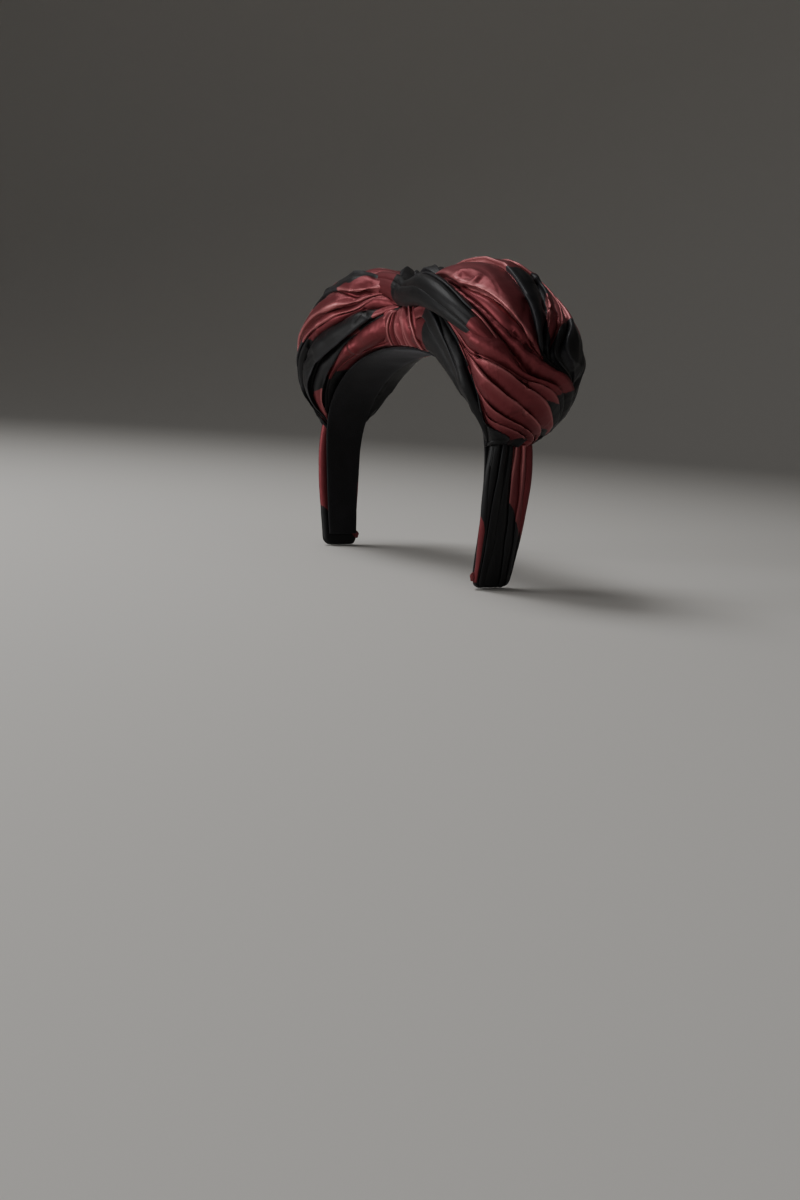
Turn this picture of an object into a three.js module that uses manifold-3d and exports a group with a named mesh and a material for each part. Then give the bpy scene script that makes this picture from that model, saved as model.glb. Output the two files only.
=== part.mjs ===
// A padded turban-twist hairband: two ruched satin rolls on a curved base band, with a folded strand of
// each roll wrapped over the other at the crown, two flat covered ends, and a velvet lining strip inside.
//
// Frame: millimetres, +Z up, +X to the wearer's left, -Y to the face. The band stands on its two ends at
// z = 0, with the arch in the XZ plane and the origin midway between the ends.
import * as THREE from 'three';
import { mergeVertices } from 'three/addons/utils/BufferGeometryUtils.js';
import Module from 'manifold-3d';

const wasm = await Module();
wasm.setup();

// ---- Driving dimensions ----------------------------------------------------------------------------
const INNER_HALF_WIDTH = 69;   // inner face of the band where the head is widest
const INNER_TOP = 104;         // inner face at the crown, above the ends
const WIDEST_AT = 55;          // height where the arch is widest
const END_HALF_WIDTH = 63;     // inner face at the tips
const CROWN_POWER = 2.2;       // 2 is an ellipse, more is squarer
const LEG_POWER = 1.7;         // how late the legs turn inwards on their way down
const GATHER_HEIGHT = 64;      // where each roll is drawn together above its flat end
const UNDERCUT = THREE.MathUtils.degToRad(50);   // how far a roll's section curls under to its flat base
const END_THICKNESS = 4.5;
const END_MID_Y = -1.75;       // the flat ends sit a little forward of the rolls' middle
const TIP_RADIUS = 4;          // rounded corners of the flat ends
const LINING_THICKNESS = 2;
const LINING_STOP = 6;         // height at which the lining stops above the tips
const GAP = 0.3;               // clearance between touching pieces

const ROLL_STEPS = 37;         // sections along a roll
const ROLL_SIDES = 42;         // facets over a section
const WRAP_STEPS = 28;
const WRAP_SIDES = 14;
const END_SIDES = 12;
const LINING_STEPS = 60;
const END_LEVELS = [GATHER_HEIGHT - GAP, 59, 53, 47, 41, 34, 27, 20, 13, 8, TIP_RADIUS, 2.4, 1.2, 0.5, 0];

const WINE = 0x7a2a2e;
const BLACK = 0x1c1b1f;
const VELVET = 0x0e0d10;

// One roll's section, from the crown (at = 0) to the gather (at = 1): its front and back, and how far it
// rises from the inner face. Both rolls share it.
const ROLL_SECTIONS = [
  { at: 0.00, front: -17.0, back: 15.0, rise: 24.0 },
  { at: 0.15, front: -19.5, back: 19.0, rise: 29.5 },
  { at: 0.30, front: -23.0, back: 23.0, rise: 38.0 },
  { at: 0.45, front: -26.0, back: 25.5, rise: 42.5 },
  { at: 0.60, front: -27.0, back: 26.5, rise: 43.0 },
  { at: 0.75, front: -25.5, back: 25.5, rise: 38.5 },
  { at: 0.86, front: -21.5, back: 21.5, rise: 28.0 },
  { at: 0.95, front: -16.5, back: 15.5, rise: 14.5 },
  { at: 1.00, front: -13.5, back: 10.0, rise: 6.0 },
];

// Ridges of gathered cloth. A path's points are [at, round]: how far down the roll, and how far round it
// from its front base (0) over the top to its back base (1). The crest stands `rise` above the padding and
// falls away over `left` and `right`, the sides of the path seen from outside.
const LEFT_FOLDS = [
  { path: [[0.20, 0.17], [0.40, 0.15], [0.56, 0.08], [0.74, 0.02]], rise: 4.0, left: 7.0, right: 7.0 },
  { path: [[0.34, 0.26], [0.56, 0.23], [0.69, 0.26], [0.80, 0.34]], rise: 4.0, left: 8.0, right: 7.0 },
  { path: [[0.58, 0.16], [0.70, 0.18], [0.81, 0.28], [0.91, 0.58]], rise: 3.6, left: 8.0, right: 6.0 },
  { path: [[0.66, 0.19], [0.76, 0.25], [0.83, 0.39], [0.87, 0.62]], rise: 4.0, left: 8.0, right: 6.0 },
  { path: [[0.70, 0.08], [0.84, 0.14], [0.92, 0.28], [0.96, 0.46]], rise: 3.5, left: 8.0, right: 6.0 },
  { path: [[0.86, 0.08], [0.94, 0.22], [0.97, 0.40], [0.98, 0.58]], rise: 2.5, left: 6.0, right: 6.0 },
  { path: [[0.26, 0.36], [0.45, 0.32], [0.66, 0.37], [0.80, 0.52]], rise: 4.0, left: 10.0, right: 6.0 },
  { path: [[0.28, 0.48], [0.50, 0.46], [0.68, 0.46], [0.82, 0.58]], rise: 3.5, left: 10.0, right: 6.0 },
  { path: [[0.14, 0.58], [0.40, 0.58], [0.64, 0.60], [0.86, 0.66]], rise: 4.0, left: 8.0, right: 6.0 },
  { path: [[0.14, 0.70], [0.42, 0.71], [0.70, 0.72], [0.92, 0.72]], rise: 4.0, left: 9.0, right: 7.0 },
  { path: [[0.16, 0.84], [0.45, 0.86], [0.72, 0.86], [0.94, 0.82]], rise: 4.0, left: 8.0, right: 7.0 },
];

const RIGHT_FOLDS = [
  { path: [[0.10, 0.33], [0.24, 0.23], [0.42, 0.18], [0.70, 0.20]], rise: 3.5, left: 6.0, right: 8.0 },
  { path: [[0.12, 0.42], [0.28, 0.37], [0.42, 0.31], [0.66, 0.33]], rise: 3.5, left: 6.0, right: 9.0 },
  { path: [[0.06, 0.26], [0.20, 0.16], [0.42, 0.11], [0.72, 0.10]], rise: 4.5, left: 7.0, right: 6.0 },
  { path: [[0.10, 0.12], [0.25, 0.05], [0.48, 0.03], [0.70, 0.03]], rise: 3.0, left: 6.0, right: 6.0 },
  { path: [[0.24, 0.50], [0.45, 0.46], [0.66, 0.46], [0.86, 0.42]], rise: 3.5, left: 6.0, right: 10.0 },
  { path: [[0.20, 0.63], [0.42, 0.60], [0.66, 0.60], [0.88, 0.54]], rise: 3.5, left: 6.0, right: 10.0 },
  { path: [[0.30, 0.76], [0.50, 0.76], [0.70, 0.70], [0.86, 0.54]], rise: 4.0, left: 6.0, right: 8.0 },
  { path: [[0.40, 0.84], [0.62, 0.84], [0.80, 0.74], [0.91, 0.56]], rise: 3.6, left: 6.0, right: 8.0 },
  { path: [[0.50, 0.92], [0.72, 0.92], [0.86, 0.84], [0.95, 0.62]], rise: 3.5, left: 6.0, right: 7.0 },
  { path: [[0.16, 0.80], [0.36, 0.86], [0.56, 0.93], [0.76, 0.97]], rise: 3.5, left: 6.0, right: 6.0 },
];

// The strand of each roll that crosses the crown. `along` is measured down the strand's own side of the
// arch, so it is negative once past the crown. `round` runs from the strand's own base edge, the front one
// for the front strand and the back one for the back strand. `lift` is its middle above the padding.
const FRONT_WRAP = [
  { at: 0.00, along: 66, round: 0.32, lift: -8.0, half: 6.0, thick: 8.0 },
  { at: 0.14, along: 56, round: 0.265, lift: -3.0, half: 7.0, thick: 9.5 },
  { at: 0.30, along: 44, round: 0.245, lift: 0.0, half: 7.5, thick: 10.5 },
  { at: 0.46, along: 31, round: 0.25, lift: 2.0, half: 8.0, thick: 10.5 },
  { at: 0.62, along: 18, round: 0.27, lift: 3.2, half: 8.5, thick: 10.5 },
  { at: 0.76, along: 7, round: 0.295, lift: 3.0, half: 8.5, thick: 10.0 },
  { at: 0.88, along: -4, round: 0.33, lift: 1.0, half: 8.0, thick: 8.5 },
  { at: 1.00, along: -17, round: 0.375, lift: -5.0, half: 6.5, thick: 6.0 },
];
const BACK_WRAP = [
  { at: 0.00, along: 66, round: 0.34, lift: -8.0, half: 6.0, thick: 8.0 },
  { at: 0.13, along: 56, round: 0.285, lift: -3.0, half: 8.0, thick: 9.5 },
  { at: 0.28, along: 43, round: 0.29, lift: 0.0, half: 8.5, thick: 10.5 },
  { at: 0.43, along: 29, round: 0.335, lift: 2.5, half: 9.0, thick: 10.5 },
  { at: 0.57, along: 16, round: 0.43, lift: 4.0, half: 9.5, thick: 11.0 },
  { at: 0.70, along: 4, round: 0.53, lift: 4.5, half: 9.0, thick: 11.0 },
  { at: 0.82, along: -8, round: 0.58, lift: 3.5, half: 8.0, thick: 10.0 },
  { at: 0.92, along: -18, round: 0.62, lift: 0.5, half: 6.5, thick: 8.0 },
  { at: 1.00, along: -26, round: 0.66, lift: -5.0, half: 5.5, thick: 6.0 },
];

// Half width of the flat ends and of the lining, by height and by share of the arch's length.
const END_WIDTHS = [
  { at: 0, half: 10.0 },
  { at: 12, half: 10.6 },
  { at: 32, half: 12.2 },
  { at: 52, half: 12.6 },
  { at: 64, half: 12.0 },
];
const LINING_WIDTHS = [
  { at: 0.00, half: 14.0, mid: -0.5 },
  { at: 0.45, half: 13.0, mid: -1.0 },
  { at: 0.70, half: 10.0, mid: END_MID_Y },
  { at: 1.00, half: 8.0, mid: END_MID_Y },
];

// ---- Small tools -----------------------------------------------------------------------------------
// Smooth curve through a table's rows: a cubic between rows, with slopes from the rows on either side.
function read(table, column, at) {
  const last = table.length - 1;
  let i = 0;
  while (i < last - 1 && at > table[i + 1].at) i += 1;
  const slope = (k) => {
    const before = table[Math.max(k - 1, 0)];
    const after = table[Math.min(k + 1, last)];
    return (after[column] - before[column]) / (after.at - before.at);
  };
  const a = table[i];
  const b = table[i + 1];
  const span = b.at - a.at;
  const t = THREE.MathUtils.clamp((at - a.at) / span, 0, 1);
  const leave = slope(i) * span;
  const arrive = slope(i + 1) * span;
  const step = b[column] - a[column];
  return a[column] + t * (leave + t * (3 * step - 2 * leave - arrive + t * (leave + arrive - 2 * step)));
}

// Closed skin through rings of points, with a fan over each end ring.
function loft(rings) {
  const sides = rings[0].length;
  const points = rings.flat();
  const faces = [];
  for (let i = 0; i < rings.length - 1; i += 1) {
    for (let j = 0; j < sides; j += 1) {
      const a = i * sides + j;
      const b = i * sides + ((j + 1) % sides);
      faces.push(a, b, b + sides, a, b + sides, a + sides);
    }
  }
  const cap = (ring, start, flip) => {
    const middle = new THREE.Vector3();
    ring.forEach((p) => middle.addScaledVector(p, 1 / sides));
    points.push(middle);
    for (let j = 0; j < sides; j += 1) {
      const a = start + j;
      const b = start + ((j + 1) % sides);
      faces.push(points.length - 1, flip ? b : a, flip ? a : b);
    }
  };
  cap(rings[0], 0, true);
  cap(rings[rings.length - 1], (rings.length - 1) * sides, false);
  const geometry = new THREE.BufferGeometry().setFromPoints(points);
  geometry.setIndex(faces);
  return outward(geometry);
}

// Turns every face over if the solid is inside out.
function outward(geometry) {
  const index = geometry.index.array;
  const position = geometry.attributes.position;
  const [a, b, c] = [new THREE.Vector3(), new THREE.Vector3(), new THREE.Vector3()];
  let volume = 0;
  for (let i = 0; i < index.length; i += 3) {
    a.fromBufferAttribute(position, index[i]);
    b.fromBufferAttribute(position, index[i + 1]);
    c.fromBufferAttribute(position, index[i + 2]);
    volume += a.dot(b.cross(c));
  }
  if (volume < 0) {
    for (let i = 0; i < index.length; i += 3) [index[i], index[i + 1]] = [index[i + 1], index[i]];
  }
  return geometry;
}

function solidOf(geometry) {
  const merged = mergeVertices(geometry, 1e-4);
  return new wasm.Manifold(new wasm.Mesh({
    numProp: 3,
    vertProperties: new Float32Array(merged.attributes.position.array),
    triVerts: new Uint32Array(merged.index.array),
  }));
}

function geometryOf(solid) {
  const mesh = solid.getMesh();
  const geometry = new THREE.BufferGeometry();
  geometry.setAttribute('position', new THREE.BufferAttribute(mesh.vertProperties, 3));
  geometry.setIndex(new THREE.BufferAttribute(mesh.triVerts, 1));
  return geometry;
}

function piece(name, geometry, color, roughness) {
  geometry.computeVertexNormals();
  const mesh = new THREE.Mesh(geometry, new THREE.MeshStandardMaterial({ color, roughness, metalness: 0 }));
  mesh.name = name;
  return mesh;
}

// ---- The arch --------------------------------------------------------------------------------------
// Inner face of the band on one side: a squared ellipse over the crown, then a leg that turns inwards.
function innerX(height) {
  if (height < WIDEST_AT) {
    return INNER_HALF_WIDTH - (INNER_HALF_WIDTH - END_HALF_WIDTH) * (1 - height / WIDEST_AT) ** LEG_POWER;
  }
  const climb = (height - WIDEST_AT) / (INNER_TOP - WIDEST_AT);
  return INNER_HALF_WIDTH * Math.max(0, 1 - climb ** CROWN_POWER) ** (1 / CROWN_POWER);
}

const archLine = [];
for (let i = 0; i <= 120; i += 1) {
  const turn = (i / 120) * (Math.PI / 2);
  const x = INNER_HALF_WIDTH * Math.sin(turn) ** (2 / CROWN_POWER);
  const z = WIDEST_AT + (INNER_TOP - WIDEST_AT) * Math.abs(Math.cos(turn)) ** (2 / CROWN_POWER);
  archLine.push({ x, z, at: 0 });
}
for (let z = WIDEST_AT - 1; z >= 0; z -= 1) archLine.push({ x: innerX(z), z, at: 0 });
for (let i = 1; i < archLine.length; i += 1) {
  const [a, b] = [archLine[i - 1], archLine[i]];
  b.at = a.at + Math.hypot(b.x - a.x, b.z - a.z);
}
const ARCH_LENGTH = archLine[archLine.length - 1].at;

function archPoint(length) {
  const at = THREE.MathUtils.clamp(length, 0, ARCH_LENGTH);
  let i = 1;
  while (i < archLine.length - 1 && archLine[i].at < at) i += 1;
  const [a, b] = [archLine[i - 1], archLine[i]];
  const t = (at - a.at) / (b.at - a.at);
  return { x: a.x + t * (b.x - a.x), z: a.z + t * (b.z - a.z) };
}

// Place on the arch, with the direction that leads away from the head.
function archFrame(length) {
  const here = archPoint(length);
  const reach = 1;
  const before = length < reach ? { x: -archPoint(reach - length).x, z: archPoint(reach - length).z }
    : archPoint(length - reach);
  const after = archPoint(length + reach);
  const size = Math.hypot(after.x - before.x, after.z - before.z);
  return { ...here, outX: -(after.z - before.z) / size, outZ: (after.x - before.x) / size };
}

// Length down the arch, from the crown, at which it comes to a height.
function lengthAt(height) {
  const i = archLine.findIndex((p) => p.z <= height);
  const [a, b] = [archLine[i - 1], archLine[i]];
  return a.at + ((b.at - a.at) * (a.z - height)) / (a.z - b.z);
}

const GATHER_LENGTH = lengthAt(GATHER_HEIGHT);

// ---- The rolls -------------------------------------------------------------------------------------
// Point on a roll's padding, raised by `out`. side is +1 for the wearer's left and -1 for the right.
function rollPoint(side, at, round, out = 0) {
  const front = read(ROLL_SECTIONS, 'front', at);
  const back = read(ROLL_SECTIONS, 'back', at);
  const tall = read(ROLL_SECTIONS, 'rise', at) / (1 + Math.sin(UNDERCUT));
  const half = (back - front) / 2;
  const angle = -UNDERCUT + round * (Math.PI + 2 * UNDERCUT);
  const lean = new THREE.Vector2(-Math.cos(angle) / half, Math.sin(angle) / tall).normalize();
  const y = (front + back) / 2 - half * Math.cos(angle) + out * lean.x;
  const rise = Math.max(0, tall * (Math.sin(angle) + Math.sin(UNDERCUT)) + out * lean.y);
  const frame = archFrame(at * GATHER_LENGTH);
  return new THREE.Vector3(side * (frame.x + rise * frame.outX), y, frame.z + rise * frame.outZ);
}

// A fold's crest as points on the padding.
function foldCrest(side, fold) {
  const curve = new THREE.CatmullRomCurve3(fold.path.map(([at, round]) => new THREE.Vector3(at, round, 0)));
  return curve.getPoints(24).map((p) => rollPoint(side, p.x, p.y));
}

// Height of one fold at a point of the padding: full on the crest, a smooth fall to each side, and a taper
// at each end of the path.
function foldHeight(fold, crest, point, normal) {
  let nearest = Infinity;
  let share = 0;
  let beside = 0;
  const offset = new THREE.Vector3();
  const heading = new THREE.Vector3();
  for (let i = 0; i < crest.length - 1; i += 1) {
    heading.subVectors(crest[i + 1], crest[i]);
    offset.subVectors(point, crest[i]);
    const t = THREE.MathUtils.clamp(offset.dot(heading) / heading.lengthSq(), 0, 1);
    offset.addScaledVector(heading, -t);
    const distance = offset.length();
    if (distance < nearest) {
      nearest = distance;
      share = (i + t) / (crest.length - 1);
      beside = heading.normalize().cross(offset).dot(normal) / Math.max(distance, 1e-6);
    }
  }
  const width = THREE.MathUtils.lerp(fold.right, fold.left, 0.5 + 0.5 * beside);
  const fall = Math.min(nearest / width, 1);
  const taper = Math.sin(Math.PI * (0.1 + 0.8 * share)) ** 0.6;
  return fold.rise * taper * (1 - fall * fall) ** 2;
}

// Pleats where the cloth is drawn together: rounded ridges that fade away from each end of the roll.
function pleatHeight(at, round) {
  const ridge = (count) => Math.abs(Math.sin(Math.PI * count * round)) - 0.5;
  return 1.2 * ridge(7) * Math.exp(-at / 0.1) + 1.4 * ridge(8) * Math.exp((at - 1) / 0.07);
}

function rollSolid(side, folds) {
  const crests = folds.map((fold) => foldCrest(side, fold));
  const rings = [];
  for (let i = 0; i < ROLL_STEPS; i += 1) {
    const at = GAP / GATHER_LENGTH + (i / (ROLL_STEPS - 1)) * (1 - GAP / GATHER_LENGTH);
    const ring = [];
    for (let j = 0; j <= ROLL_SIDES; j += 1) {
      const round = j / ROLL_SIDES;
      const point = rollPoint(side, at, round);
      const normal = rollPoint(side, at, round, 1).sub(rollPoint(side, at, round, 0)).normalize();
      const heights = folds.map((fold, k) => foldHeight(fold, crests[k], point, normal));
      ring.push(rollPoint(side, at, round, Math.max(...heights) + pleatHeight(at, round)));
    }
    rings.push(ring);
  }
  return solidOf(loft(rings));
}

// ---- The crossing strands --------------------------------------------------------------------------
// A flattened strand laid along its route. side is +1 for the front strand, which comes from the wearer's
// left, and -1 for the back one. `grown` fattens and lengthens it, to cut its seat in the rolls.
function wrapSolid(side, route, grown = 0) {
  const place = (at) => {
    const run = read(route, 'along', at) / GATHER_LENGTH;
    const round = side > 0 ? read(route, 'round', at) : 1 - read(route, 'round', at);
    const raised = (out) => rollPoint(run < 0 ? -side : side, Math.abs(run), round, out);
    const normal = raised(1).sub(raised(0)).normalize();
    return { middle: raised(0).addScaledVector(normal, read(route, 'lift', at)), normal };
  };
  const rings = [];
  for (let i = 0; i < WRAP_STEPS; i += 1) {
    const at = i / (WRAP_STEPS - 1);
    const { middle, normal } = place(at);
    const ahead = place(Math.min(at + 0.02, 1)).middle;
    const heading = ahead.sub(place(Math.max(at - 0.02, 0)).middle).normalize();
    const across = new THREE.Vector3().crossVectors(heading, normal).normalize();
    const up = new THREE.Vector3().crossVectors(across, heading);
    const close = Math.min(1, Math.sqrt(Math.min(at, 1 - at) / 0.08) + 0.25);
    const half = read(route, 'half', at) * close + grown;
    const deep = (read(route, 'thick', at) / 2) * close + grown;
    if (i === 0) middle.addScaledVector(heading, -grown);
    if (i === WRAP_STEPS - 1) middle.addScaledVector(heading, grown);
    const ring = [];
    for (let j = 0; j < WRAP_SIDES; j += 1) {
      const angle = (j / WRAP_SIDES) * 2 * Math.PI;
      ring.push(middle.clone()
        .addScaledVector(across, half * Math.cos(angle))
        .addScaledVector(up, deep * Math.sin(angle)));
    }
    rings.push(ring);
  }
  return solidOf(loft(rings));
}

// ---- The flat ends ---------------------------------------------------------------------------------
// Level sections from the gather down to the tip. Pleats on the outer face run out on the way down.
function endSolid(side) {
  const rings = END_LEVELS.map((height) => {
    const rounding = TIP_RADIUS - Math.sqrt(TIP_RADIUS ** 2 - Math.max(0, TIP_RADIUS - height) ** 2);
    const half = read(END_WIDTHS, 'half', height) - rounding;
    const pleats = 1.2 * Math.exp((height - GATHER_HEIGHT) / 22);
    const ring = [];
    const place = (across, out) => {
      ring.push(new THREE.Vector3(side * (innerX(height) + out), END_MID_Y + half * across, height));
    };
    for (let j = 0; j <= END_SIDES; j += 1) {
      const across = -1 + (2 * j) / END_SIDES;
      const swell = 1 + (1 - across ** 6) ** 0.5;
      const pleat = Math.abs(Math.sin(2.5 * Math.PI * across)) - 0.5;
      place(across, (END_THICKNESS / 2) * swell + pleats * pleat * (swell - 1));
    }
    for (let j = END_SIDES - 1; j > 0; j -= 1) {
      const across = -1 + (2 * j) / END_SIDES;
      place(across, (END_THICKNESS / 2) * (1 - (1 - across ** 6) ** 0.5));
    }
    return ring;
  });
  return solidOf(loft(rings));
}

// ---- The lining ------------------------------------------------------------------------------------
// One strip along the inner face, from just above one tip to just above the other. Its section runs out
// along the outer face and back along the inner one, as [across, deep].
const LINING_OUTLINE = [[-1, 0], [-0.35, 0], [0.35, 0], [1, 0], [1, 1], [0.35, 1], [-0.35, 1], [-1, 1]];

function liningSolid() {
  const stop = ARCH_LENGTH - LINING_STOP;
  const rings = [];
  for (let i = 0; i <= LINING_STEPS; i += 1) {
    const signed = -stop + (2 * stop * i) / LINING_STEPS;
    const side = Math.sign(signed) || 1;
    const share = Math.abs(signed) / ARCH_LENGTH;
    const half = read(LINING_WIDTHS, 'half', share);
    const mid = read(LINING_WIDTHS, 'mid', share);
    const frame = archFrame(Math.abs(signed));
    rings.push(LINING_OUTLINE.map(([across, deep]) => {
      const out = -GAP - deep * LINING_THICKNESS;
      const x = side * (frame.x + out * frame.outX);
      return new THREE.Vector3(x, mid + half * across, frame.z + out * frame.outZ);
    }));
  }
  return solidOf(loft(rings));
}

// ---- Assembly --------------------------------------------------------------------------------------
const frontWrap = wrapSolid(1, FRONT_WRAP);
const frontSeat = wrapSolid(1, FRONT_WRAP, GAP);
const backWrap = wrapSolid(-1, BACK_WRAP).subtract(frontSeat);
const seat = frontSeat.add(wrapSolid(-1, BACK_WRAP, GAP));

const hairband = new THREE.Group();
hairband.add(piece('left_roll', geometryOf(rollSolid(1, LEFT_FOLDS).subtract(seat)), WINE, 0.42));
hairband.add(piece('right_roll', geometryOf(rollSolid(-1, RIGHT_FOLDS).subtract(seat)), WINE, 0.42));
hairband.add(piece('front_wrap', geometryOf(frontWrap), BLACK, 0.45));
hairband.add(piece('back_wrap', geometryOf(backWrap), WINE, 0.42));
hairband.add(piece('left_end', geometryOf(endSolid(1)), BLACK, 0.45));
hairband.add(piece('right_end', geometryOf(endSolid(-1)), BLACK, 0.45));
hairband.add(piece('lining', geometryOf(liningSolid()), VELVET, 0.95));

export default hairband;
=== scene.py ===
import math

import bpy
import numpy as np
from mathutils import Matrix, Vector


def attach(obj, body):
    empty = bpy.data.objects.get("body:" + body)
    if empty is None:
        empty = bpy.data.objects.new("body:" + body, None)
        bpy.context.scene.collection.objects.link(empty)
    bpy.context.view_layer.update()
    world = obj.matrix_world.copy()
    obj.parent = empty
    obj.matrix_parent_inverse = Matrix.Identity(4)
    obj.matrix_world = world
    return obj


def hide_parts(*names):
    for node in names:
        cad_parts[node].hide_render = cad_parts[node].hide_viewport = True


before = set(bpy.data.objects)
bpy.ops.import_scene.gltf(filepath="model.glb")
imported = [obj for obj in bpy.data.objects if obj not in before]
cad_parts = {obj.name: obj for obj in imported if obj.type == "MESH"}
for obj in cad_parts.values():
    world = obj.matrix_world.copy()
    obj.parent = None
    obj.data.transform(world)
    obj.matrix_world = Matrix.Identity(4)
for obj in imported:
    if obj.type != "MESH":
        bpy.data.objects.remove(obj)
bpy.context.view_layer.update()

# ---- The two rolls ---------------------------------------------------------------------------------
# Each roll is a bias strip of satin drawn over soft wadding on a springy band, gathered hard at the
# crown and above the flat end. The cloth is longer and wider than what it covers, so it stands in
# slanting folds.

# Lengths are in millimetres, and the meshes are made in metres.
INNER_HALF_WIDTH = 69.0        # of the arch's inner face at its widest place
INNER_TOP = 104.0
WIDEST_AT = 55.0
END_HALF_WIDTH = 63.0          # of the inner face at the tips
CROWN_POWER = 2.2              # 2 is an ellipse, and more is squarer
LEG_POWER = 1.7                # how the legs curl in below the widest place
GATHER_HEIGHT = 64.0
UNDERCUT = math.radians(50)    # how far the padding curls under at its front and back edges
MM = 0.001

# A roll's section from the crown (at 0) to the gather (at 1): front and back edge, and its rise.
ROLL_SECTIONS = {
    "at": [0.00, 0.15, 0.30, 0.45, 0.60, 0.75, 0.86, 0.95, 1.00],
    "front": [-17.0, -19.5, -23.0, -26.0, -27.0, -25.5, -21.5, -16.5, -13.5],
    "back": [15.0, 19.0, 23.0, 25.5, 26.5, 25.5, 21.5, 15.5, 10.0],
    "rise": [24.0, 29.5, 38.0, 42.5, 43.0, 38.5, 28.0, 14.5, 6.0],
}


def through(table, column, at):
    """Smooth reading of a table: a cubic between rows, with each row's slope taken from its neighbours."""
    x, y = np.asarray(table["at"], float), np.asarray(table[column], float)
    slope = np.empty_like(y)
    slope[1:-1] = (y[2:] - y[:-2]) / (x[2:] - x[:-2])
    slope[0], slope[-1] = (y[1] - y[0]) / (x[1] - x[0]), (y[-1] - y[-2]) / (x[-1] - x[-2])
    at = np.clip(at, x[0], x[-1])
    i = np.clip(np.searchsorted(x, at, side="right") - 1, 0, len(x) - 2)
    span = x[i + 1] - x[i]
    t = (at - x[i]) / span
    leave, arrive, step = slope[i] * span, slope[i + 1] * span, y[i + 1] - y[i]
    return y[i] + t * (leave + t * (3 * step - 2 * leave - arrive + t * (leave + arrive - 2 * step)))


def inner_x(height):
    """Half width of the arch's inner face: a squared ellipse above the widest place, a curl in below it."""
    low = INNER_HALF_WIDTH - (INNER_HALF_WIDTH - END_HALF_WIDTH) * (
        np.clip(1 - height / WIDEST_AT, 0, 1) ** LEG_POWER)
    climb = np.clip((height - WIDEST_AT) / (INNER_TOP - WIDEST_AT), 0, 1)
    return np.where(height < WIDEST_AT, low,
                    INNER_HALF_WIDTH * (1 - climb ** CROWN_POWER) ** (1 / CROWN_POWER))


# The arch's inner line from the crown to the floor as close points, with the length from the crown to each.
turn = np.linspace(0, math.pi / 2, 400)
leg = np.arange(WIDEST_AT - 0.5, -0.25, -0.5)
arch_x = np.concatenate([INNER_HALF_WIDTH * np.sin(turn) ** (2 / CROWN_POWER), inner_x(leg)])
crown_z = WIDEST_AT + (INNER_TOP - WIDEST_AT) * np.abs(np.cos(turn)) ** (2 / CROWN_POWER)
arch_z = np.concatenate([crown_z, leg])
arch_at = np.concatenate([[0], np.cumsum(np.hypot(np.diff(arch_x), np.diff(arch_z)))])
ARCH_LENGTH = arch_at[-1]
GATHER_LENGTH = np.interp(-GATHER_HEIGHT, -arch_z, arch_at)


def arch_frame(length):
    """Place on the arch by length from the crown (negative on the wearer's right), and the way out of it,
    square to the chord between the places a millimetre before and after."""
    def place(s):
        return np.sign(s) * np.interp(np.abs(s), arch_at, arch_x), np.interp(np.abs(s), arch_at, arch_z)

    (x, z), (xa, za), (xb, zb) = place(length), place(length - 1.0), place(length + 1.0)
    size = np.hypot(xb - xa, zb - za)
    return x, z, -(zb - za) / size, (xb - xa) / size


def roll_point(length, round_, out):
    """Padding's surface raised by out: an ellipse arc that curls under by UNDERCUT at both edges."""
    at = np.abs(length) / GATHER_LENGTH
    front, back = through(ROLL_SECTIONS, "front", at), through(ROLL_SECTIONS, "back", at)
    tall = through(ROLL_SECTIONS, "rise", at) / (1 + math.sin(UNDERCUT))
    half = (back - front) / 2
    angle = -UNDERCUT + round_ * (math.pi + 2 * UNDERCUT)
    lean_y, lean_z = -np.cos(angle) / half, np.sin(angle) / tall
    size = np.hypot(lean_y, lean_z)
    y = (front + back) / 2 - half * np.cos(angle) + out * lean_y / size
    rise = np.maximum(tall * (np.sin(angle) + math.sin(UNDERCUT)) + out * lean_z / size, 0)
    x, z, out_x, out_z = arch_frame(length)
    return np.stack([x + rise * out_x, y, z + rise * out_z], axis=-1)


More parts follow.
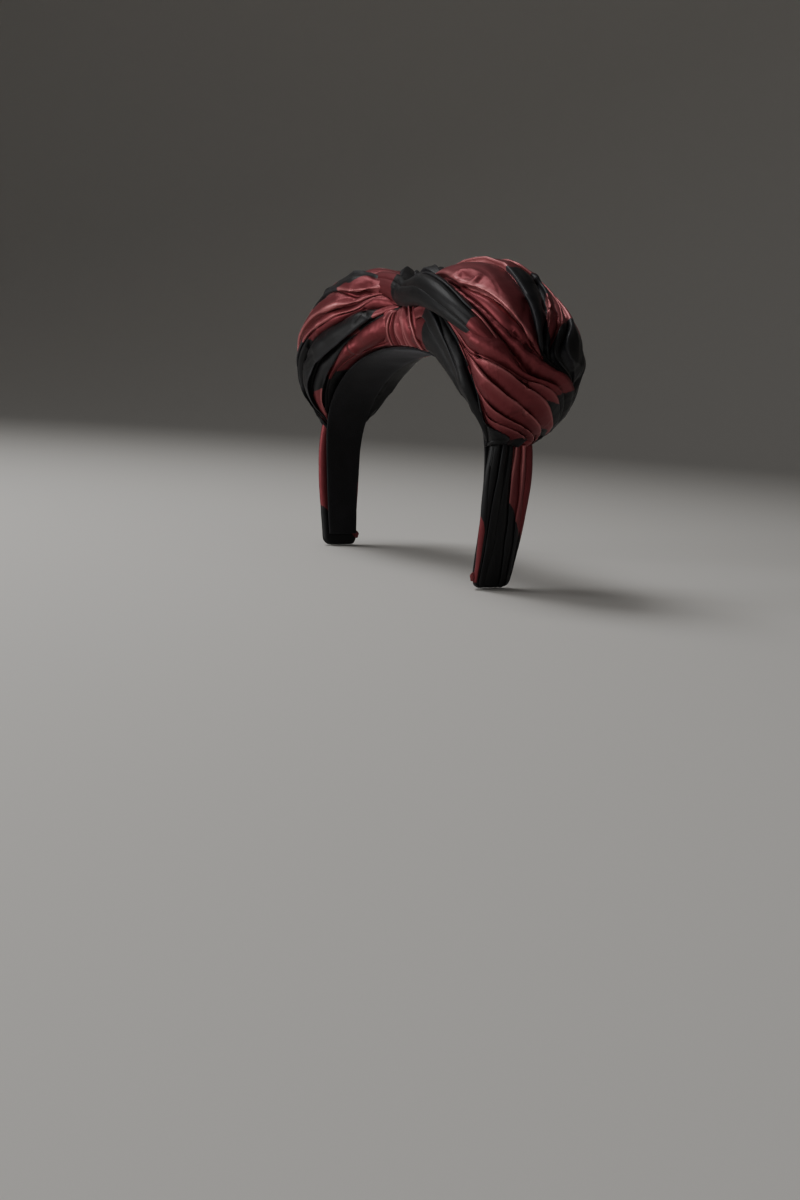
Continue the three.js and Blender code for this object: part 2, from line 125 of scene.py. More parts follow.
# The cloth's folds on the wearer's left roll. A row is one fold line, in order from the front of the roll to
# its back. `at` and `round` give its way from crown to gather at even steps, and `at` is left out where it
# is even too. Where a line is a lip, the cloth on one side lies over the other: lip 1 has its rim towards
# the back, -1 towards the front, 0 is a plain valley. `drop` is the height of the rim. `black` lists the
# stretches of the panel behind the line that are woven black, if any, as [from, to, slant] along it, and
# `crumple` is the height of small facets on that panel. On the panels from patch_rim to lobe_foot the black
# also runs on over about 0.82 to 0.85 along, where the red cloth lies in deep shade: that stretch of black
# is painted shade. The other roll is the same, turned half a turn about the crown, with its own black on
# three panels.
FOLD_LINES = [
    {"name": "front_base", "lip": 0, "drop": 0.0, "black": [[0.30, 1.2, 0.0]],
     "at": [0, .15, .30, .45, .58, .70, .81, .92, 1],
     "round": [0, 0, 0, 0, 0, 0, 0, 0, 0]},
    {"name": "under_rim", "lip": -1, "drop": 2.2, "black": [[0.28, 1.2, 0.0]],
     "at": [0, .15, .30, .45, .58, .70, .81, .92, 1],
     "round": [.10, .115, .165, .132, .098, .065, .04, .05, .06]},
    {"name": "front_fold", "lip": 1, "drop": 2.6, "black": [[0.29, 1.2, 0.0]],
     "at": [0, .15, .30, .45, .58, .70, .81, .92, 1],
     "round": [.15, .17, .200, .180, .130, .098, .080, .095, .13]},
    {"name": "front_valley", "lip": 0, "drop": 3.2, "black": [[0.30, 0.60, -0.1], [0.69, 1.2, 0.0]],
     "at": [0, .15, .30, .45, .58, .70, .80, .90, 1],
     "round": [.19, .20, .208, .195, .173, .160, .150, .15, .18]},
    {"name": "gather_rim", "lip": 1, "drop": 1.6, "black": [[0.99, 1.2, 0.0]],
     "at": [0, .15, .30, .45, .58, .70, .81, .935, 1],
     "round": [.229, .234, .225, .198, .186, .172, .163, .19, .40]},
    {"name": "low_rim", "lip": 1, "drop": 2.0,
     "at": [0, .15, .30, .45, .58, .70, .82, .925, 1],
     "round": [.233, .238, .228, .2005, .188, .175, .167, .22, .54]},
    {"name": "round_rim", "lip": 1, "drop": 2.6,
     "at": [0, .15, .30, .45, .58, .70, .83, .93, 1],
     "round": [.237, .242, .231, .203, .190, .179, .174, .31, .64]},
    {"name": "middle_rim", "lip": 1, "drop": 2.2, "black": [[0.95, 1.2, 0.04]],
     "at": [0, .15, .30, .455, .59, .71, .835, .918, 1],
     "round": [.239, .244, .2325, .2043, .191, .191, .26, .405, .71]},
    {"name": "long_rim", "lip": 1, "drop": 2.6, "black": [[0.87, 1.2, 0.04]],
     "at": [0, .15, .30, .46, .60, .72, .84, .905, 1],
     "round": [.241, .246, .234, .2055, .192, .203, .345, .50, .78]},
    {"name": "upper_rim", "lip": 1, "drop": 2.8, "black": [[0.86, 1.2, 0.0]], "crumple": 0.12,
     "at": [0, .16, .32, .48, .62, .73, .835, .885, 1],
     "round": [.245, .250, .240, .208, .199, .223, .365, .54, .85]},
    {"name": "deep_valley", "lip": 0, "drop": 4.2, "black": [[0.865, 1.2, 0.0]], "crumple": 0.15,
     "at": [0, .17, .34, .50, .63, .735, .83, .879, 1],
     "round": [.33, .325, .295, .275, .288, .328, .41, .61, .857]},
    {"name": "wrap_rim", "lip": 0, "drop": 1.0, "black": [[0.765, 0.808, -0.04], [0.852, 1.2, 0.0]],
     "at": [0, .17, .34, .50, .63, .735, .81, .86, 1],
     "round": [.345, .34, .315, .300, .318, .360, .47, .68, .92]},
    {"name": "dome_rim", "lip": -1, "drop": 2.8, "black": [[0.70, 0.81, -0.07], [0.85, 1.2, 0.0]],
     "at": [0, .17, .34, .48, .61, .725, .806, .857, 1],
     "round": [.36, .355, .335, .32, .36, .405, .474, .684, .923]},
    # Painted shade: from here to lobe_foot the black runs on unbroken over about 0.82 to 0.85 along, where
    # the cloth is red in deep shade.
    {"name": "patch_rim", "lip": -1, "drop": 1.8, "black": [[0.46, 1.2, 0.08]],
     "at": [0, .16, .32, .46, .60, .72, .803, .854, 1],
     "round": [.40, .43, .45, .46, .445, .445, .480, .688, .926]},
    {"name": "bright_rim", "lip": -1, "drop": 3.2, "black": [[0.46, 0.55, 0.0], [0.686, 1.2, 0.04]],
     "at": [0, .15, .30, .45, .58, .70, .80, .851, 1],
     "round": [.45, .48, .52, .515, .545, .50, .487, .692, .929]},
    {"name": "grey_rim", "lip": -1, "drop": 3.2, "black": [[0.64, 1.2, -0.04]],
     "at": [0, .15, .30, .45, .58, .70, .80, .848, 1],
     "round": [.50, .54, .575, .585, .59, .555, .505, .696, .932]},
    {"name": "lobe_top", "lip": -1, "drop": 3.0, "black": [[0.64, 1.2, 0.06]],
     "at": [0, .15, .30, .45, .58, .70, .79, .845, 1],
     "round": [.55, .59, .62, .625, .63, .605, .55, .70, .935]},
    {"name": "lobe_foot", "lip": 1, "drop": 3.4, "black": [[0.66, 1.2, 0.1]],
     "at": [0, .15, .29, .44, .57, .69, .785, .843, 1],
     "round": [.60, .65, .725, .69, .675, .66, .64, .71, .938]},
    {"name": "red_ridge", "lip": 1, "drop": 2.2, "black": [[0.60, 1.2, 0.06]],
     "at": [0, .15, .28, .43, .57, .69, .79, .855, 1],
     "round": [.64, .675, .765, .78, .765, .74, .71, .74, .942]},
    {"name": "twin_ridge", "lip": 1, "drop": 1.8, "black": [[0.57, 1.2, 0.0]],
     "at": [0, .14, .27, .42, .56, .69, .80, .875, 1],
     "round": [.66, .69, .79, .807, .805, .785, .76, .79, .95]},
    {"name": "broad_top", "lip": 0, "drop": 3.4, "black": [[0.13, 1.2, 0.04]],
     "at": [0, .13, .27, .42, .56, .69, .81, .90, 1],
     "round": [.69, .755, .805, .835, .83, .82, .81, .84, .96]},
    {"name": "broad_foot", "lip": 1, "drop": 4.4, "black": [[0.0, 0.25, 0.0], [0.33, 0.75, -0.1]],
     "at": [0, .13, .27, .41, .55, .69, .82, .92, 1],
     "round": [.71, .80, .875, .91, .92, .91, .89, .90, .97]},
    {"name": "thin_foot", "lip": 1, "drop": 2.2, "black": [[0.62, 1.2, 0.0]],
     "at": [0, .13, .27, .41, .55, .69, .83, .93, 1],
     "round": [.73, .815, .89, .93, .955, .965, .965, .96, .985]},
    {"name": "base_strip", "lip": 0, "drop": 2.0, "black": [[0.55, 1.2, 0.0]],
     "at": [0, .12, .27, .42, .56, .70, .83, .93, 1],
     "round": [.88, .945, .982, .987, .988, .989, .99, .991, .993]},
    {"name": "back_base", "lip": 0, "drop": 0.0,
     "at": [0, .14, .28, .42, .56, .70, .83, .93, 1],
     "round": [1, 1, 1, 1, 1, 1, 1, 1, 1]},
]
RIGHT_BLACK = {"lobe_top": [[0.26, 0.47, 0.16]], "patch_rim": [], "bright_rim": [[0.75, 1.2, 0.0]]}
# Single wrinkles between the folds: a path of [at, round], its height (less than 0 is a dent) and its half
# width. The right roll's are read from its back base, as its folds are.
LEFT_WRINKLES = [
    ([[.41, .323], [.44, .350], [.475, .359], [.515, .357], [.535, .350]], 1.6, 1.1),
    ([[.445, .331], [.475, .340], [.50, .343], [.52, .345]], -2.0, 1.2),
    ([[.47, .321], [.50, .329], [.52, .335], [.535, .345]], 1.0, 0.9),
    ([[.345, .322], [.41, .311], [.455, .310], [.50, .314]], 1.4, 1.0),
    ([[.39, .301], [.45, .297], [.49, .303]], -1.4, 1.0),
    ([[.555, .335], [.535, .360]], -0.9, 0.8),
    ([[.56, .372], [.63, .380], [.68, .390]], 0.7, 1.6),
    ([[.70, .383], [.72, .383], [.745, .390]], 1.2, 0.9),
    ([[.70, .365], [.735, .363], [.762, .373]], -1.4, 1.1),
    ([[.742, .395], [.75, .413], [.762, .430]], 1.6, 1.1),
    ([[.765, .393], [.772, .410], [.778, .428]], -2.4, 1.6),
    ([[.708, .478], [.695, .513], [.695, .545]], 1.2, 1.0),
    ([[.505, .557], [.515, .565], [.575, .533]], 1.2, 0.9),
    ([[.58, .433], [.645, .430], [.66, .457]], 0.7, 1.0),
    ([[.785, .357], [.81, .373], [.83, .393]], -1.1, 1.1),
    ([[.81, .393], [.822, .415]], -1.1, 1.0),
    ([[.885, .340], [.90, .387], [.91, .440]], 1.0, 2.0),
    ([[.875, .335], [.885, .377], [.885, .420]], -1.0, 1.8),
    ([[.925, .367], [.925, .410], [.92, .450]], -1.2, 1.6),
    ([[.775, .190], [.80, .203], [.825, .217]], -0.8, 1.6),
    ([[.685, .235], [.71, .250], [.735, .262]], 1.0, 0.8),
    ([[.725, .220], [.745, .228], [.765, .237]], -1.0, 0.8),
]
RIGHT_WRINKLES = [
    ([[.475, .777], [.39, .773], [.30, .747]], 1.0, 1.2),
    ([[.25, .633], [.21, .610]], -1.6, 1.2),
    ([[.37, .930], [.345, .955], [.37, .990]], 1.3, 1.4),
    ([[.40, .937], [.40, .975]], -1.0, 1.4),
    ([[.68, .817], [.64, .813], [.595, .810]], -1.3, 1.2),
    ([[.73, .830], [.67, .863], [.62, .880]], -1.3, 1.1),
    ([[.765, .867], [.705, .893], [.64, .910]], -1.3, 1.2),
    ([[.39, .690], [.335, .673], [.265, .653], [.225, .653]], 0.9, 2.0),
    ([[.385, .713], [.305, .733], [.26, .713], [.205, .667]], -1.4, 1.0),
]
CREST = 3.8                    # how high a full fold stands on the padding
UNEVEN = 0.22                  # share by which crests differ
EDGE_CREST = 0.8               # share of the full height that the panels at both bases have at most
RIM_RADIUS = 0.6
RIM_LIFT = 0.7                 # how far a rim stands above its own panel
RIM_FADE = 0.8                 # over how far that lift falls away
PAINTED_HIGHLIGHT_FADE = 0.55               # over how far the painted highlight of a rim falls away
LINE_STRAY = 0.7               # how far a fold line strays from its way at most
NO_BLACK = -50.0               # depth inside a black patch (less than 0 is outside) where a panel has none
COLUMN = 0.75                  # how far apart the mesh's columns are on a panel
CLOSE_COLUMNS = (0.015, 0.04, 0.075)    # where a panel has more columns beside a valley, as shares across
ROLL_ROWS = 262
ROLL_SIZE = (86.0, 115.0)      # a roll's length, and the way round its padding
ROLL_PLEATS = (0.9, 0.4)       # how high the cloth puckers at the crown and at the gather


def drift(points, size, seed):
    """Smooth noise from -1 to 1: random values on a lattice of the given size, blended between corners."""
    values = np.random.default_rng(seed).uniform(-1, 1, (64, 64, 64))
    place = points / size + 200
    cell = np.floor(place).astype(int)
    f = place - cell
    f = f * f * (3 - 2 * f)
    total = 0
    for i in (0, 1):
        for j in (0, 1):
            for k in (0, 1):
                weight = ((f[..., 0] if i else 1 - f[..., 0]) * (f[..., 1] if j else 1 - f[..., 1])
                          * (f[..., 2] if k else 1 - f[..., 2]))
                c = (cell + [i, j, k]) % 64
                total = total + weight * values[c[..., 0], c[..., 1], c[..., 2]]
    return total


def unit(vectors):
    """Each vector divided by its length."""
    return vectors / np.maximum(np.linalg.norm(vectors, axis=-1, keepdims=True), 1e-9)


def stray_wrinkles(count, size, seed):
    """Short random wrinkles: each a bent line of two legs, 4 to 9 mm long, mostly along the folds."""
    rng = np.random.default_rng(seed)
    rows = []
    for _ in range(count):
        at, round_ = rng.uniform(0.16, 0.92), rng.uniform(0.06, 0.96)
        reach, slant, bend = rng.uniform(4, 9), rng.normal(0, 0.45), rng.normal(0, 0.3)
        before, after = slant - bend, slant + bend
        path = [[at - reach * math.cos(before) / size[0], round_ - reach * math.sin(before) / size[1]],
                [at, round_],
                [at + reach * math.cos(after) / size[0], round_ + reach * math.sin(after) / size[1]]]
        rows.append((path, rng.choice([-1, 1]) * rng.uniform(0.5, 1.2), rng.uniform(0.8, 1.5)))
    return rows


def wrinkle_height(spots, wrinkles, size):
    """Sum over the wrinkles: full height on the path, an exponential fall beside it, tapered to its ends."""
    total = np.zeros(spots.shape[:2])
    for path, rise, half in wrinkles:
        path = np.array(path) * np.array(size)
        best, share = np.full(spots.shape[:2], 1e9), np.zeros(spots.shape[:2])
        for k in range(len(path) - 1):
            leg = path[k + 1] - path[k]
            t = np.clip((spots - path[k]) @ leg / (leg @ leg), 0, 1)
            gap = np.linalg.norm(spots - path[k] - t[..., None] * leg, axis=-1)
            share = np.where(gap < best, (k + t) / (len(path) - 1), share)
            best = np.minimum(best, gap)
        taper = np.clip(4 * share * (1 - share), 0, 1) ** 0.5 * 0.8 + 0.2
        total += rise * taper * np.exp(-(np.sqrt(best ** 2 + 0.04) / half) ** 1.5)
    return total


def lay_lines(lines, surface, size, seed, s):
    """Each fold line's way, place on the form and direction across it, at the shares s of its length. Noise
    moves a line a little, and less where its neighbours are close; across is square to line and form."""
    routes = []
    for line in lines:
        steps = np.linspace(0, 1, len(line["round"]))
        ways = (line.get("at", steps), line["round"])
        routes.append([through({"at": steps, "way": way}, "way", s) for way in ways])
    at, round_, place, across = [], [], [], []
    for k, (u, v) in enumerate(routes):
        if 0 < k < len(lines) - 1:
            along = np.stack([u * size[0], 0 * u + 37.0 * k, 0 * u], axis=-1)
            room = np.minimum(v - routes[k - 1][1], routes[k + 1][1] - v) * size[1]
            stray = np.clip(0.18 * room, 0, LINE_STRAY) / size[1]
            v = v + stray * drift(along, 11.0, seed) * np.sin(math.pi * s) ** 0.5
        here = surface(u, v, 0 * u)
        out = unit(surface(u, v, 0 * u + 1) - here)
        sideways = unit(np.cross(out, unit(np.gradient(here, axis=0))))
        sideways *= np.sign(np.sum(sideways * (surface(u, v + 0.005, 0 * u) - here), axis=-1))[:, None]
        at.append(u)
        round_.append(v)
        place.append(here)
        across.append(sideways)
    return at, round_, place, across


def fold_heights(lines, place, crest_height, rise, seed):
    """Width of each panel, height of its crest and height of the cloth at each line. A crest is uneven by
    noise and lower on a narrow panel; a line lies below the lower crest beside it by its drop."""
    bands = len(lines) - 1
    width = [np.linalg.norm(place[k + 1] - place[k], axis=-1) for k in range(bands)]
    crest = []
    for k in range(bands):
        middle = (place[k] + place[k + 1]) / 2
        uneven = crest_height * (1 + UNEVEN * drift(middle, 17.0, seed + 1))
        crest.append(np.minimum(uneven, 0.05 * crest_height + 0.5 * width[k]) * rise)
    crest[0] = np.minimum(crest[0], EDGE_CREST * crest_height)
    crest[-1] = np.minimum(crest[-1], EDGE_CREST * crest_height)
    base = 0 * width[0]
    floor_ = [base]
    for k in range(1, bands):
        drop = lines[k]["drop"] * np.clip(np.minimum(width[k - 1], width[k]) / (1.3 * crest_height), 0, 1)
        floor_.append(np.minimum(crest[k - 1], crest[k]) - drop * np.minimum(rise, 1) ** 1.5)
    return width, crest, floor_ + [base]


def panel_columns(k, lines, width, crest, floor_, crest_height):
    """Columns of panel k, each as (share across it, shift across its line, height, distance from its rim).
    The body is puffed by a sine between its two ends. A rim is a third of a circle at the lip's end, and
    the column at a line with a rim is tucked back under it."""
    lip_in = lines[k]["lip"] if 0 < k else 0
    lip_out = lines[k + 1]["lip"] if k + 2 < len(lines) else 0
    start = crest[k] if lip_in < 0 else floor_[k]
    end = crest[k] if lip_out > 0 else floor_[k + 1]
    low_ends = (lip_in >= 0) + (lip_out <= 0)
    puff = np.minimum(0.05 * width[k], 0.7) + (crest[k] - (start + end) / 2 if low_ends == 2 else 0)
    rim_in = np.minimum(0.4 * (crest[k] - floor_[k]), RIM_RADIUS)
    rim_out = np.minimum(0.4 * (crest[k] - floor_[k + 1]), RIM_RADIUS)
    rim_before = np.minimum(0.4 * (crest[k - 1] - floor_[k]), RIM_RADIUS) if k else rim_in
    lifted = crest[k] * (1 + RIM_LIFT / crest_height)

    def from_rim(q):
        """Distance from the panel's own rim, or far more than its width where it has none."""
        return np.minimum(q if lip_in < 0 else 9, 1 - q if lip_out > 0 else 9) * width[k]

    def rim(q, radius, degrees):
        """A column on the rim's arc, so many degrees from its top."""
        a = math.radians(degrees)
        return q, radius * math.sin(a), lifted - np.abs(radius) * (1 - math.cos(a)), from_rim(q)

    tuck = 1.3 * rim_in if lip_in < 0 else (-1.3 * rim_before if lip_in > 0 else 0 * width[k])
    columns = [(0.0, tuck, floor_[k], from_rim(0.0))]
    if lip_in < 0:
        columns += [rim(0.0, -rim_in, degrees) for degrees in (120, 60, 0)]
    body = np.linspace(0.11, 0.89, int(np.clip(width[k].mean() / COLUMN, 4, 18)))
    before = [] if lip_in < 0 else CLOSE_COLUMNS
    after = [] if lip_out > 0 else [1 - q for q in CLOSE_COLUMNS[::-1]]
    for q in (*before, *body, *after):
        share = (1 - q) ** 2.4 if lip_out > 0 else (1 - q ** 2.4 if lip_in < 0 else 1 - q)
        level = (start * share + end * (1 - share) + puff * math.sin(math.pi * q) ** 0.7
                 + RIM_LIFT * crest[k] / crest_height * np.exp(-from_rim(q) / RIM_FADE))
        columns.append((q, 0 * width[k], level, from_rim(q)))
    if lip_out > 0:
        columns += [rim(1.0, rim_out, degrees) for degrees in (0, 60, 120)]
    return columns


def black_depth(stretches, s, q, length):
    """How far inside a black stretch a place is, in millimetres, less than 0 outside. Its ends slant with q,
    the share across the panel."""
    inside = np.full_like(s, NO_BLACK)
    for first, last, slant in stretches:
        lean = slant * (q - 0.5)
        inside = np.maximum(inside, length * np.minimum(s - first - lean, last - s + lean))
    return inside


def ruffles(grid, spots, rough, size, seed, crest_height, pleats, wrinkles):
    """Height of what lies on the folds: soft waves, long creases, crumpled facets, single wrinkles, and
    puckers that die away from the two ends."""
    def streaks(long, wide, salt):
        """Noise drawn out along the folds."""
        flow = np.concatenate([spots / np.array([long, wide]), 0 * spots[..., :1]], axis=-1)
        return drift(flow, 1.0, seed + salt)

    crease = (1 - np.abs(streaks(16.0, 3.2, 6))) ** 6
    swell = 0.45 * drift(grid, 11.0, seed + 2) + 0.10 * drift(grid, 4.0, seed + 3) - 0.20 * crease
    facets = (1 - 2 * np.abs(drift(grid, 3.4, seed + 7)) - (1 - np.abs(drift(grid, 5.0, seed + 9))) ** 5)
    swell = swell * crest_height / CREST + rough * facets
    swell = swell + wrinkle_height(spots, wrinkles, size)
    start, end = spots[..., 0], size[0] - spots[..., 0]
    return swell + streaks(14.0, 1.7, 10) * (pleats[0] * np.exp(-start / 8) + pleats[1] * np.exp(-end / 6))


def folded_cloth(lines, surface, size, seed, rows, crest_height, pleats, rise, wrinkles):
    """Grid of cloth over a form: between each two fold lines a puffed panel, at each lip a rim that rounds
    over and tucks under by its radius. Rows run across all the lines, columns along them. surface(at, round,
    out) is the form, size its length and its way round, pleats the height of the puckers at its two ends,
    and rise a share for each row that lowers the folds. Also gives each point's depth in the black, its
    place on the flat cloth, and how strongly its rim takes a painted highlight."""
    s = np.linspace(0, 1, rows)
    at, round_, place, across = lay_lines(lines, surface, size, seed, s)
    width, crest, floor_ = fold_heights(lines, place, crest_height, rise, seed)
    points, tone, spots, rough, painted_rim_highlight = [], [], [], [], []
    for k in range(len(lines) - 1):
        for q, shift, level, from_rim in panel_columns(k, lines, width, crest, floor_, crest_height):
            u = at[k] * (1 - q) + at[k + 1] * q
            v = round_[k] * (1 - q) + round_[k + 1] * q
            way = across[k] if q < 0.5 else across[k + 1]
            points.append(surface(u, v, level) + shift[:, None] * way)
            tone.append(black_depth(lines[k].get("black", []), s, q, size[0]))
            spots.append(np.stack([u * size[0], v * size[1]], axis=-1))
            rough.append(0 * s + lines[k].get("crumple", 0.0))
            # Painted highlight: a rim's colour is painted paler near its edge, the more so the higher its
            # crest, where light would catch it.
            painted_rim_highlight.append(np.exp(-from_rim / PAINTED_HIGHLIGHT_FADE) * np.clip(crest[k] / crest_height, 0, 1))
    points.append(surface(at[-1], round_[-1], 0 * s))
    spots.append(np.stack([at[-1] * size[0], round_[-1] * size[1]], axis=-1))
    for field in (tone, rough, painted_rim_highlight):
        field.append(field[-1])
    grid, tone, spots, rough, painted_rim_highlight = (
        np.stack(field, axis=1) for field in (points, tone, spots, rough, painted_rim_highlight))
    out = unit(np.cross(np.gradient(grid, axis=0), np.gradient(grid, axis=1)))
    half = np.full(3, 0.5)
    facing = (surface(half, half, half * 2) - surface(half, half, half * 0))[0]
    out *= np.sign(np.sum(out[rows // 2, grid.shape[1] // 2] * facing))
    swell = ruffles(grid, spots, rough, size, seed, crest_height, pleats, wrinkles)
    grid = grid + out * swell[..., None]
    tone = tone + 1.6 * drift(grid, 7.0, seed + 4) + 0.5 * drift(grid, 2.0, seed + 5)
    return grid, tone, spots, painted_rim_highlight * (0.75 + 0.25 * drift(grid, 6.0, seed + 13))


def mesh_of(name, grid, closed_ends=True, values=None):
    """A mesh through a grid of points in millimetres, joined round its second side, with a fan at each end.
    values are fields over the grid, kept as attributes of the points."""
    rows, cols = grid.shape[:2]
    left = np.arange(rows * cols).reshape(rows, cols)
    right = np.roll(left, -1, axis=1)
    quads = np.stack([left[:-1], right[:-1], right[1:], left[1:]], axis=-1).reshape(-1, 4)
    points = grid.reshape(-1, 3)
    faces = quads.tolist()
    if closed_ends:
        points = np.concatenate([points, grid[:1].mean(axis=1), grid[-1:].mean(axis=1)])
        first, last = rows * cols, rows * cols + 1
        faces += np.stack([np.full(cols, first), right[0], left[0]], axis=-1).tolist()
        faces += np.stack([np.full(cols, last), left[-1], right[-1]], axis=-1).tolist()
    mesh = bpy.data.meshes.new(name)
    mesh.from_pydata((points * MM).tolist(), [], faces)
    mesh.update()
    for key, field in (values or {}).items():
        layer = mesh.attributes.new(key, "FLOAT", "POINT")
        data = np.zeros(len(points))
        data[:rows * cols] = field.reshape(-1)
        if closed_ends:
            data[first], data[last] = field[0].mean(), field[-1].mean()
        layer.data.foreach_set("value", data.astype(np.float32))
    mesh.shade_smooth()
    made = bpy.data.objects.new(name, mesh)
    bpy.context.scene.collection.objects.link(made)
    return made


def face_out(piece):
    """Turns a closed mesh's faces outwards: a negative volume means that they all point in."""
    mesh = piece.data
    mesh.calc_loop_triangles()
    corners = np.empty(len(mesh.vertices) * 3)
    mesh.vertices.foreach_get("co", corners)
    corners = corners.reshape(-1, 3)
    tri = np.empty(len(mesh.loop_triangles) * 3, dtype=np.int32)
    mesh.loop_triangles.foreach_get("vertices", tri)
    a, b, c = (corners[tri.reshape(-1, 3)[:, k]] for k in range(3))
    if np.einsum("ij,ij", a, np.cross(b, c)) < 0:
        mesh.flip_normals()
    return piece


UNDER_COLUMNS = 24
LOWEST = 0.02                  # no cloth lies lower than this over the floor


def covered(name, lines, surface, size, seed, rows, crest_height, belly=0.0, pleats=(0, 0), hem=(), rise=1,
            wrinkles=()):
    """A closed piece: folded cloth on top, and underneath a strip from base edge to base edge that hangs
    down by belly in a flattened arch, with small gathers across it. hem lists rings past the last row, each
    as [outwards, onwards] in millimetres; they droop unevenly and stay in at the front and back corners."""
    top, tone, spots, painted_rim_highlight = folded_cloth(
        lines, surface, size, seed, rows, crest_height, pleats, rise, wrinkles)
    back = np.linspace(0, 1, UNDER_COLUMNS + 2)[None, 1:-1]
    under = top[:, -1:] * (1 - back[..., None]) + top[:, :1] * back[..., None]
    s = np.linspace(0, 1, rows)
    middle = 0 * s + 0.5
    down = -unit(surface(s, middle, 0 * s + 1) - surface(s, middle, 0 * s))
    arch = (1 - (2 * back - 1) ** 6) ** 0.5
    gathers = 0.35 * drift(under / np.array([1.0, 5.0, 1.0]), 2.4, seed + 8) * arch * crest_height / CREST
    under = under + down[:, None] * (belly * arch + gathers)[..., None]
    under_tone = tone[:, -1:] * (1 - back) + tone[:, :1] * back
    under_along = np.repeat(spots[:, -1:, 0], UNDER_COLUMNS, axis=1)
    under_round = spots[:, -1:, 1] + back * 0.5 * size[1]
    grid = np.concatenate([top, under], axis=1)
    grid[..., 2] = np.maximum(grid[..., 2], LOWEST)
    tone = np.concatenate([tone, under_tone], axis=1)
    along = np.concatenate([spots[..., 0], under_along], axis=1)
    round_ = np.concatenate([spots[..., 1], under_round], axis=1)
    # The underside gets no painted highlight.
    rim = np.concatenate([painted_rim_highlight, np.zeros_like(under_tone)], axis=1)
    onwards = unit(grid[-1].mean(axis=0) - grid[-8].mean(axis=0))
    last = grid[-1]
    outwards = unit(last - last.mean(axis=0))
    droop = 1 + 0.5 * drift(last, 5.0, seed + 12)[:, None]
    corner = np.abs(outwards[:, 1:2]) ** 4
    for out, on in hem:
        ring = last + (out - 0.45 * on * corner) * outwards + on * droop * onwards
        grid = np.concatenate([grid, ring[None]])
        tone, along, round_, rim = (np.concatenate([a, a[-1:]]) for a in (tone, along, round_, rim))
    values = {"black": tone, "along": along, "round": round_, "rim": rim}
    return face_out(mesh_of(name, grid, values=values))


CROWN_GAP = 0.003              # share of its length by which each roll stops short of the middle
# Where a roll ends, its cloth turns in over the top of the flat end.
GATHER_HEM = [(0.1, 0.8), (0.1, 1.7), (-0.1, 2.6), (-0.6, 3.2), (-1.3, 3.3), (-2.0, 2.8), (-2.7, 1.6)]


def left_padding(at, round_, out):
    """The left roll's padding, read from the crown and from its front base."""
    return roll_point(GATHER_LENGTH * np.maximum(at, CROWN_GAP), round_, out)


def right_padding(at, round_, out):
    """The right roll's, turned half a turn about the crown, so it is read from its back base."""
    return roll_point(-GATHER_LENGTH * np.maximum(at, CROWN_GAP), 1 - round_, out)


# Towards the crown the folds flatten, because the strands hold them down.
down_the_roll = np.linspace(0, 1, ROLL_ROWS)
crown_dip = 0.15 + 0.85 * np.clip(down_the_roll / 0.16, 0, 1) ** 0.8
left_roll = covered("left_roll_cloth", FOLD_LINES, left_padding, ROLL_SIZE, 11, ROLL_ROWS, CREST,
                    pleats=ROLL_PLEATS, hem=GATHER_HEM, rise=crown_dip,
                    wrinkles=LEFT_WRINKLES + stray_wrinkles(26, ROLL_SIZE, 12))
right_lines = [dict(line, black=RIGHT_BLACK.get(line["name"], line.get("black", [])))
               for line in FOLD_LINES]
right_roll = covered("right_roll_cloth", right_lines, right_padding, ROLL_SIZE, 31, ROLL_ROWS, CREST,
                     pleats=ROLL_PLEATS, hem=GATHER_HEM, rise=crown_dip,
                     wrinkles=RIGHT_WRINKLES + stray_wrinkles(34, ROLL_SIZE, 32))


def linear(hex_code):
    """An sRGB hex colour as linear red, green, blue and an alpha of 1."""
    parts = [int(hex_code[i:i + 2], 16) / 255 for i in (1, 3, 5)]
    return [p / 12.92 if p <= 0.04045 else ((p + 0.055) / 1.055) ** 2.4 for p in parts] + [1]


def node(tree, kind, inputs=None, **settings):
    """Adds a node with its settings; each input is a number, a colour or another node's output."""
    made = tree.nodes.new(kind)
    for name, value in settings.items():
        setattr(made, name, value)
    for socket, value in (inputs or {}).items():
        if isinstance(value, bpy.types.NodeSocket):
            tree.links.new(value, made.inputs[socket])
        else:
            made.inputs[socket].default_value = value
    return made


